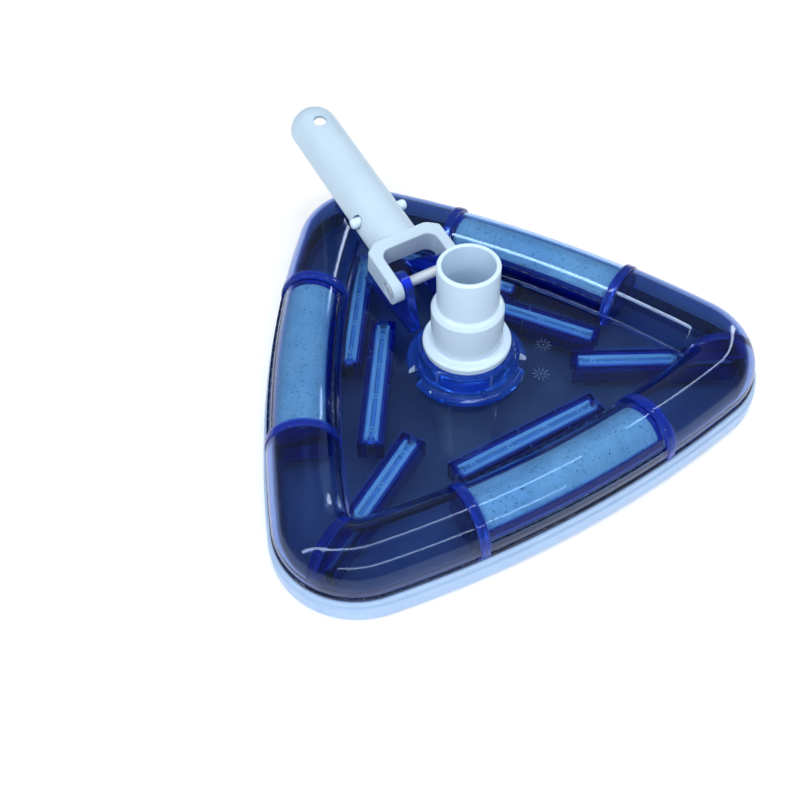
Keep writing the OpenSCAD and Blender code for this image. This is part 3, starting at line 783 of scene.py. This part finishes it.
def build_cover(side):
    """A pocket's cover, with shallow panels between ribs on its underside and two screw holes."""
    half, under = WEIGHT_W / 2 + 2.4, POCKET_FLOOR - COVER_T
    section = rounded([
        (RIDGE_T - half, under, 0.6), (RIDGE_T + half, under, 0.6), (RIDGE_T + half, POCKET_FLOOR, 0.3),
        (RIDGE_T - half, POCKET_FLOOR, 0.3)
    ])
    end = POCKET_HALF + HOOP_W - 0.4
    cover = side_bar(side, -end, end, section, radius=0.6, n=40).object()
    low, high, depth = RIDGE_T - 11, RIDGE_T + 11, under + 0.7
    panel = [(low, 0), (high, 0), (high, depth), (low, depth)]
    middles = [-42 + i * 14.0 for i in range(7)]
    steps = [(CUT, side_bar(side, s - 5.6, s + 5.6, panel, n=4)) for s in middles]
    for s in (-SCREW_S, SCREW_S):
        x, y, _ = side_at(side, s).at(RIDGE_T, 0)
        steps.append((CUT, rod(4, 12, 1.75, 32).moved(shift(x, y))))
    return cut_and_join(cover, steps)


for side, name in enumerate(("front", "right", "left")):
    w = piece(build_weight(side), f"cast_weight_{name}", "head", WEIGHT, [f"weight_{name}"])
    smooth(w, 50)
    c = piece(build_cover(side), f"pocket_cover_{name}", "head", COVER, [f"weight_cover_{name}"])
    smooth(c, 40)


def cross(reach, half, z0, z1):
    """The two cuts of a cross recess."""
    return [
        (CUT, block(-reach, reach, -half, half, z0, z1)),
        (CUT, block(-half, half, -reach, reach, z0, z1))
    ]


def screw():
    """A pan head with a cross recess, and a shank with a thread."""
    seat = POCKET_FLOOR - COVER_T
    profile = [(0, seat - 1.8), (1.6, seat - 1.8), (2.4, seat - 1.55), (2.85, seat - 1.0)]
    profile += [(3, seat - 0.4), (3, seat), (1.5, seat)]
    z = seat + 0.4
    while z < 16.2:
        profile += [(1.5, z), (1.15, z + 0.35), (1.15, z + 0.5), (1.5, z + 0.85)]
        z += 1.0
    profile += [(0.6, 17.6), (0, 17.9)]
    return cut_and_join(lathe(profile, 32).object(), cross(1.7, 0.4, seat - 3, seat - 0.8))


def build_screws():
    """The same screw in all the covers' holes, in one mesh."""
    screws = screw()
    bm = bmesh.new()
    for side in range(3):
        for s in (-SCREW_S, SCREW_S):
            x, y, _ = side_at(side, s).at(RIDGE_T, 0)
            copy = screws.data.copy()
            copy.transform(shift(x * MM, y * MM) @ Matrix.Rotation(0.5 * side + s, 4, "Z"))
            bm.from_mesh(copy)
            bpy.data.meshes.remove(copy)
    bm.to_mesh(screws.data)
    bm.free()
    return screws


smooth(piece(build_screws(), "cross_head_screws", "head", STEEL, ["cover_screws"]), 40)

# ---- Hub collar and nozzle ----


def build_collar():
    """The twist-lock ring, with a lug under the plate below each notch, and a nub on its top."""
    neck, low = HUB_HOLE - 0.2, PLATE_UNDER - 0.5
    profile = rounded([
        (COLLAR_BORE, low, 0.2), (neck, low, 0.2), (neck, PLATE_TOP, 0), (COLLAR_R, PLATE_TOP, 0.2),
        (COLLAR_R, 23.6, 0.5), (COLLAR_R - 1.3, 25, 0.5), (30.2, 25.2, 0.4), (29.6, 26.1, 0.3),
        (28.4, 26.1, 0.4), (27.9, 25.5, 0.3), (27.3, 27.0, 0.5), (25.8, COLLAR_TOP - 0.9, 0.5),
        (24.8, COLLAR_TOP, 0.4), (COLLAR_BORE, COLLAR_TOP, 0.3)
    ], 3)
    steps = []
    lug_z, lug_in, lug_half = PLATE_UNDER - 2.2, 22.6, 4.3
    lug = [(26.6, -lug_half), (27, -3.9), (27, 3.9), (26.6, lug_half)]
    lug = [(lug_in, -lug_half), *lug, (lug_in, lug_half)]
    for a in NOTCHES:
        spin = turned(a)
        notch = block(NOTCH_R, 37, -NOTCH_HALF, NOTCH_HALF, PLATE_TOP - 1, 31)
        stem = block(lug_in, 23.7, -lug_half, lug_half, lug_z + 0.2, PLATE_TOP - 1)
        steps.append((CUT, notch.moved(spin)))
        steps.append((JOIN, prism(lug, lug_z, PLATE_UNDER - 0.02, 0.3).moved(spin)))
        steps.append((JOIN, stem.moved(spin)))
    nub = lathe([(0, 24), (1.5, 24), (1.5, 27.6), (1.1, 28.0), (0, 28.1)], 24)
    nub_place = turned(-104) @ shift(29.2, 0)
    steps.append((JOIN, nub.moved(nub_place)))
    return cut_and_join(lathe(profile, 160).object(), steps)


def paint_notches(collar):
    """Gives the notches' upright cut faces the pale notch material, a painted glint that stands in for the
    reflections on their edges.
    """
    for face in collar.data.polygons:
        p = face.center / MM
        for a in NOTCHES:
            u, v = turn((p.x, p.y), -a)
            upright = abs(face.normal.z) < 0.3 and p.z > PLATE_TOP
            if upright and u > NOTCH_R - 0.1 and abs(abs(v) - NOTCH_HALF) < 0.1:
                face.material_index = 1


# The collar's second material is the painted glint on its notch faces.
collar = piece(build_collar(), "clear_collar", "head", [COLLAR_TINT, NOTCH_GLINT], ["hub_collar"])
paint_notches(collar)
smooth(collar, 30)


def build_nozzle():
    """The stepped hose connector, open right through, with grooves for clip ring and seal."""
    step1, step2, skirt, low, clip_r, seal_r = FLANGE_Z + 3.6, 66.0, COLLAR_BORE - 0.05, 14, 17.8, 17.1
    profile = rounded([
        (15, low, 0.3), (skirt - 0.8, low, 0.2), (skirt, low + 0.8, 0.2), (skirt, 15.6, 0), (clip_r, 15.6, 0),
        (clip_r, 17.2, 0), (skirt, 17.2, 0), (skirt, 26.4, 0), (seal_r, 26.4, 0), (seal_r, 28.6, 0),
        (skirt, 28.6, 0), (skirt, FLANGE_Z, 0), (23.2, FLANGE_Z, 0.4), (23.6, FLANGE_Z + 0.5, 0.3),
        (23.6, step1 - 1, 0.5), (22.6, step1, 0.5), (20.0, step1 + 0.1, 0.3), (CUFF_LARGE, step1 + 1.2, 0.6),
        (CUFF_LARGE, step2 - 3, 0.6), (CUFF_LARGE - 1.3, step2 - 0.7, 0.5), (CUFF_SMALL + 0.6, step2, 0.3),
        (CUFF_SMALL, step2 + 0.6, 0.3), (CUFF_SMALL, NOZZLE_TOP - 0.9, 0.5),
        (CUFF_SMALL - 0.7, NOZZLE_TOP, 0.3), (BORE_R + 0.5, NOZZLE_TOP, 0.3),
        (BORE_R, NOZZLE_TOP - 0.6, 0.3), (BORE_R, step2 - 5, 0.6), (15, step2 - 9, 0.6)
    ], 3)
    return lathe(profile, 144).object()


nozzle = piece(build_nozzle(), "swivel_cuff", "nozzle", WHITE, ["swivel_nozzle"])
smooth(nozzle, 30)

washer = lathe(rounded([
    (COLLAR_BORE + 0.2, COLLAR_TOP, 0.1), (23.2, COLLAR_TOP, 0.2), (23.2, FLANGE_Z - 0.1, 0.2),
    (COLLAR_BORE + 0.2, FLANGE_Z - 0.1, 0.1)
], 2), 128)
smooth(piece(washer.object(), "slip_washer", "head", WHITE, ["swivel_washer"]), 40)
ring = lathe(arc(18.2, 27.5, 1.0, 0, 345, 23), 96)
smooth(piece(ring.object(), "seal_ring", "nozzle", RUBBER, ["nozzle_o_ring"]), 60)


def build_clip_ring():
    """The spring ring under the collar, open at one side with rounded ends."""
    outer = arc(0, 0, 21.5, 8.5, 351.5, 90)
    inner = arc(0, 0, 17.9, 351.5, 8.5, 80)
    return prism(outer + inner, 15.7, 17.1, 0.25).object()


smooth(piece(build_clip_ring(), "retaining_ring", "nozzle", STEEL, ["nozzle_clip"]), 40)

# ---- Brushes ----


def build_strip(place):
    """Two rails with a groove between them on a wider flange, with end notches and small rivet rings."""
    half, top, flange, flange_top = BRUSH_W / 2, PLATE_UNDER - 0.1, 5, 15
    groove, floor, ring_low, ring_top = 1.2, PLATE_UNDER - 2.2, PLATE_UNDER - 2.6, PLATE_UNDER - 0.3
    section = rounded([
        (-flange, STRIP_UNDER, 0.3), (flange, STRIP_UNDER, 0.3), (flange, flange_top, 0.3),
        (half, flange_top, 0.2), (half, top, 0.5), (groove, top, 0.4), (groove, floor, 0.2),
        (-groove, floor, 0.2), (-groove, top, 0.4), (-half, top, 0.5), (-half, flange_top, 0.2),
        (-flange, flange_top, 0.3)
    ], 3)
    strip = prism(section, -BRUSH_LEN / 2, BRUSH_LEN / 2, 0.35).moved(LIE_ALONG_X).object()
    steps = []
    for x in (-BRUSH_LEN / 2, BRUSH_LEN / 2):
        notch = block(-2.4, 2.4, -1.9, 1.9, 15.2, 30)
        steps.append((CUT, notch.moved(shift(x, 0))))
    for x in (-33, -11, 11, 33):
        rivet = [(1.0, ring_low, 0), (1.75, ring_low, 0), (1.75, ring_top, 0.2), (1.0, ring_top, 0.2)]
        steps.append((JOIN, lathe(rounded(rivet, 2), 24).moved(shift(x, 0))))
    strip = cut_and_join(strip, steps)
    strip.data.transform(Matrix.Translation(place.translation * MM) @ place.to_3x3().to_4x4())
    if place.determinant() < 0:
        strip.data.flip_normals()
    return strip


def build_bristles(place, seed):
    """Tufts in three staggered rows. Each filament is a thin tapering prism that splays towards its tip."""
    rng = random.Random(seed)
    out = Solid()
    rows, pitch, filaments, tuft_r, reach = (-1.5, 0.0, 1.5), 3.1, 15, 0.75, 4.2
    count, root, end = int((BRUSH_LEN - 5) / pitch), STRIP_UNDER + 0.3, BRUSH_LEN / 2 - 2.6
    for row_i, row in enumerate(rows):
        for i in range(count):
            tx = (i - (count - 1) / 2) * pitch + (pitch / 2 if row_i == 1 else 0)
            if abs(tx) > end:
                continue
            lean_x, lean_y = rng.uniform(-0.5, 0.5), row * 0.85 + rng.uniform(-0.5, 0.5)
            for _ in range(filaments):
                a, q = rng.uniform(0, 2 * math.pi), math.sqrt(rng.random())
                ox, oy = tuft_r * q * math.cos(a), tuft_r * q * math.sin(a)
                end_x, end_y = lean_x + ox * 1.5 + rng.gauss(0, 0.3), lean_y + oy * 1.5 + rng.gauss(0, 0.35)
                tip = BRISTLE_TIP + abs(rng.gauss(0, 0.45))
                loops = []
                for h in (0.0, 0.55, 1.0):
                    r = 0.2 - 0.07 * h
                    cx = tx + ox + end_x * h ** 1.7
                    cy = min(reach, max(-reach, row + oy + end_y * h ** 1.7))
                    z = root + (tip - root) * h
                    loops.append([(cx + r * math.cos(b), cy + r * math.sin(b), z) for b in (0.3, 2.39, 4.49)])
                out.loops(loops)
    out.add(block(-end, end, -1.1, 1.1, STRIP_UNDER + 3.2, STRIP_UNDER + 3.95, 0.2))
    return out.moved(place).object(merge=1e-9)


for i, (name, place) in enumerate(brush_places()):
    strip = piece(build_strip(place), f"rail_strip_{name}", "head", STRIP, [f"brush_{name}"])
    smooth(strip, 35)
    tufts = build_bristles(place, 40 + i)
    piece(tufts, f"tufts_{name}", "head", BRISTLE, [f"bristles_{name}"])
    tufts.data.shade_smooth()

# ---- Handle ----


def place_on_hinge(obj, pitch=PITCH):
    """Takes what was built round the bolt's axis to its place."""
    at_hinge = shift(0, HINGE_Y * MM, HINGE_Z * MM)
    obj.data.transform(at_hinge @ Matrix.Rotation(math.radians(pitch), 4, "X"))
    return obj


def tongue_arch(radius, y0, n=48, n_ball=16):
    """A half-round bar on the arms' lower plane, closed by a quarter of a ball at its far end."""
    straight, tip_r = HANDLE_LEN - TONGUE_R, 0.02
    turns = [math.pi / 2 * i / n_ball for i in range(1, n_ball)]
    ball = [(straight + radius * math.sin(a), radius * math.cos(a)) for a in turns]
    around = [math.pi * i / n for i in range(n + 1)]
    rings = [(y0, radius), (straight, radius)] + ball + [(straight + radius, tip_r)]
    return Solid().loops([
        [(r * math.cos(b), y, ARM_Z0 + r * math.sin(b)) for b in around] for y, r in rings
    ])


def build_handle():
    """Yoke and hollow tongue in one: the yoke's plan is raised, and its arms get round ends."""
    nose, past, seat, n = -12, 30, 19.8, 40
    half_plan = [
        (ARM_OUT, nose, 0), (ARM_OUT, BRIDGE_1 - 1.5, 3.2), (ARM_OUT - 5.5, BRIDGE_1 + 2.6, 3),
        (TONGUE_R, SHOULDER, 1)
    ]
    plan = [(-x, y, r) for x, y, r in half_plan] + half_plan[::-1]
    plan += [(ARM_IN, nose, 0), (ARM_IN, BRIDGE_0, 6), (-ARM_IN, BRIDGE_0, 6), (-ARM_IN, nose, 0)]
    yoke = prism(rounded(plan, 8), ARM_Z0, ARM_Z1, 1.0, 4).object()
    mid, half, low, high = (ARM_Z0 + ARM_Z1) / 2, (ARM_Z1 - ARM_Z0) / 2, ARM_Z0 - 0.5, ARM_Z1 + 0.5
    side = arc(0, mid, half, 90, 270, n) + [(36, low), (36, high)]
    side[0], side[n] = (0, high), (0, low)
    cavity = tongue_arch(TONGUE_R - TONGUE_WALL, BRIDGE_1 + 0.2).moved(shift(0, 0, -0.001))
    steps = [
        (KEEP, prism(side, -past, past).moved(LIE_ALONG_X)),
        (JOIN, tongue_arch(TONGUE_R, BRIDGE_1)),
        (CUT, cavity),
        (CUT, rod(-10, 20, HANG_R).moved(shift(0, HANG_Y))),
        (CUT, rod_x(-past, past, 0, 0, HINGE_HOLE_R)),
        (CUT, rod_x(-past, -seat, 0, 0, 4.7)),
        (CUT, rod_x(seat, past, 0, 0, 5.2, 6)),
        (CUT, rod_x(-20, -5, BUTTON_Y, BUTTON_Z, BUTTON_HOLE_R)),
        (CUT, rod_x(5, 20, BUTTON_Y, BUTTON_Z, BUTTON_HOLE_R))
    ]
    return place_on_hinge(cut_and_join(yoke, steps))


handle = piece(build_handle(), "fork_handle", "handle", HANDLE_WHITE, ["handle"])
smooth(handle, 32)


def build_bolt():
    """A pan head with a cross recess, and a shank with a rolled thread."""
    pan = [(0, 0.1), (2.6, 0.1), (3.7, 0.3), (4.25, 0.9), (4.4, 1.6), (4.4, 2.9), (4.3, 3), (BOLT_R, 3)]
    profile = [(r, x - ARM_OUT) for r, x in pan] + [(BOLT_R, -10)]
    x, thread_r = -10.0, 2.55
    while x < 22:
        profile += [(thread_r, x + 0.42), (thread_r, x + 0.52), (BOLT_R, x + 0.92), (BOLT_R, x + 1)]
        x += 1.0
    profile += [(2.6, 22.6), (0, 22.8)]
    bolt = cut_and_join(lathe(profile, 48).object(), cross(2.3, 0.45, -ARM_OUT - 2, -ARM_OUT + 1.7))
    bolt.data.transform(AXIS_TO_X)
    return place_on_hinge(bolt, 0)


smooth(piece(build_bolt(), "cross_head_bolt", "handle", PALE_STEEL, ["hinge_bolt"]), 40)


def build_nut():
    """A hexagon nut with a countersunk bore."""
    nut_r, bore_r, sink_r = 4.9, BOLT_R + 0.02, 3.7
    hexagon = [(nut_r * math.cos(math.pi / 3 * i), nut_r * math.sin(math.pi / 3 * i)) for i in range(6)]
    nut = prism(hexagon, ARM_OUT - 3, ARM_OUT, 0.35).object()
    bore = [(0, 15), (bore_r, 15), (bore_r, ARM_OUT - 0.7), (sink_r, ARM_OUT + 0.1), (sink_r, 30), (0, 30)]
    cut_and_join(nut, [(CUT, lathe(bore, 48))])
    nut.data.transform(AXIS_TO_X)
    return place_on_hinge(nut)


smooth(piece(build_nut(), "hex_nut", "handle", PALE_STEEL, ["hinge_nut"]), 30)


def build_bend():
    """The round end of the spring strip near the tongue's tip."""
    r = CLIP_ROOT[0] + CLIP_T / 2
    outline = arc(0, 0, r, 0, 180, 32) + arc(0, 0, r - CLIP_T, 180, 0, 32)
    bend = prism(outline, CLIP_Z0, CLIP_Z1, 0.2)
    return place_on_hinge(bend.moved(shift(0, CLIP_ROOT[1] + CLIP_T)).object())


def build_leg(side):
    """A spring leg that leans out to its button, in one smooth strip, and the button's domed end."""
    out, back, half = CLIP_TIP_X - CLIP_ROOT[0], CLIP_ROOT[1] - BUTTON_Y, CLIP_T / 2
    length = math.hypot(out, back) + 4
    strip = rounded([(-half, -length, 0.4), (half, -length, 0.4), (half, 0, 0.1), (-half, 0, 0.1)], 3)
    at_root = shift(*CLIP_ROOT) @ Matrix.Rotation(math.atan2(out, back), 4, "Z")
    leg = prism(strip, CLIP_Z0, CLIP_Z1, 0.25).moved(at_root).object()
    eye = prism(arc(0, 0, 0.9, 0, 345, 23), CLIP_Z0, CLIP_Z1, 0.15).moved(at_root)
    profile = [(0, CLIP_TIP_X - 0.3), (BUTTON_R, CLIP_TIP_X - 0.3), (BUTTON_R, 16.4), (2.85, 17.0)]
    profile += [(2.4, 17.55), (1.6, 17.88), (0, 18)]
    button = lathe(profile, 40).moved(shift(0, BUTTON_Y, BUTTON_Z) @ AXIS_TO_X)
    cut_and_join(leg, [(JOIN, eye), (JOIN, button)])
    if side < 0:
        leg.data.transform(Matrix.Scale(-1, 4, (1, 0, 0)))
        leg.data.flip_normals()
    return place_on_hinge(leg)


smooth(piece(build_bend(), "spring_bend", "handle", STEEL, ["clip_bend"]), 30)
for side, name in ((-1, "left"), (1, "right")):
    leg = build_leg(side)
    piece(leg, f"spring_leg_{name}", f"clip_{name}", WHITE, [f"clip_leg_{name}"])
    smooth(leg, 35)

# ---- Stage, lights and camera ----


def add_stage():
    """A plain pale floor that is see-through from below."""
    mesh = bpy.data.meshes.new("floor")
    s = 6.0  # metres from the middle to each edge
    mesh.from_pydata([(-s, -s, 0), (s, -s, 0), (s, s, 0), (-s, s, 0)], [], [(0, 1, 2, 3)])
    floor = bpy.data.objects.new("floor", mesh)
    bpy.context.scene.collection.objects.link(floor)
    m = Nodes("pale_floor", (0.9, 0.91, 0.92), 0.9)
    m.shader.inputs["Specular IOR Level"].default_value = 0.1
    m.colour(m.ramp(m.noise(300, 2), [(0.3, (0.95, 0.955, 0.96)), (0.7, (0.97, 0.975, 0.98))]))
    facing, see_through = m.node("ShaderNodeNewGeometry"), m.node("ShaderNodeBsdfTransparent")
    either, output = m.node("ShaderNodeMixShader"), m.tree.nodes["Material Output"]
    m.link(facing.outputs["Backfacing"], either.inputs[0])
    m.link(m.shader.outputs[0], either.inputs[1])
    m.link(see_through.outputs[0], either.inputs[2])
    m.link(either.outputs[0], output.inputs["Surface"])
    mesh.materials.append(m.mat)


def softbox(name, location, target, size, power):
    light = bpy.data.lights.new(name, "AREA")
    light.shape, light.size, light.size_y = "RECTANGLE", size[0], size[1]
    light.energy = power
    obj = bpy.data.objects.new(name, light)
    obj.location = location
    obj.rotation_euler = (Vector(target) - Vector(location)).to_track_quat("-Z", "Y").to_euler()
    bpy.context.scene.collection.objects.link(obj)
    return obj


def add_lights():
    """Two broad fills that leave no reflection, and four thin boxes for the long highlights."""
    world = bpy.data.worlds.new("studio")
    world.use_nodes = True
    sky = world.node_tree.nodes["Background"]
    sky.inputs["Color"].default_value = (0.86, 0.93, 1.0, 1)
    sky.inputs["Strength"].default_value = 0.3
    bpy.context.scene.world = world
    fill = softbox("fill", (0.0, -0.2, 2.4), (0, 0, 0), (3.6, 3.6), 41)
    front_fill = softbox("front_fill", (-0.9, -1.6, 1.1), (0, 0, 0.03), (2.0, 2.0), 15)
    fill.visible_glossy = front_fill.visible_glossy = False
    softbox("top", (-0.15, 0.0, 1.5), (0, 0, 0), (0.10, 1.8), 5)
    softbox("left", (-1.2, 0.1, 1.1), (0, 0, 0), (0.09, 1.3), 4)
    softbox("right", (1.2, 0.3, 0.9), (0, 0, 0), (0.09, 1.3), 3.5)
    softbox("front", (-0.35, -1.3, 0.95), (0, 0, 0.03), (2.2, 0.10), 6)


def add_camera():
    """The photograph's view: direction, roll and distance from the point on the floor that it looks at."""
    azimuth, elevation, roll = (math.radians(a) for a in (-27.47, 50.85, -3.14))
    distance, looked_at, sensor, focal_per_width = 533.64, Vector((-36.88, 9.97, 0)), 36, 955.48 / 800
    level = math.cos(elevation)
    back = Vector((math.sin(azimuth) * level, -math.cos(azimuth) * level, math.sin(elevation)))
    right = Vector((math.cos(azimuth), math.sin(azimuth), 0))
    up = back.cross(right)
    right, up = math.cos(roll) * right + math.sin(roll) * up, math.cos(roll) * up - math.sin(roll) * right
    camera = bpy.data.cameras.new("camera")
    camera.sensor_width, camera.lens = sensor, sensor * focal_per_width
    camera.clip_start, camera.clip_end = 0.01, 50
    obj = bpy.data.objects.new("camera", camera)
    facing = Matrix((right, up, back)).transposed().to_4x4()
    obj.matrix_world = Matrix.Translation((looked_at + back * distance) * MM) @ facing
    bpy.context.scene.collection.objects.link(obj)
    bpy.context.scene.camera = obj


add_stage()
add_lights()
add_camera()
bpy.context.scene.view_settings.view_transform = "Standard"
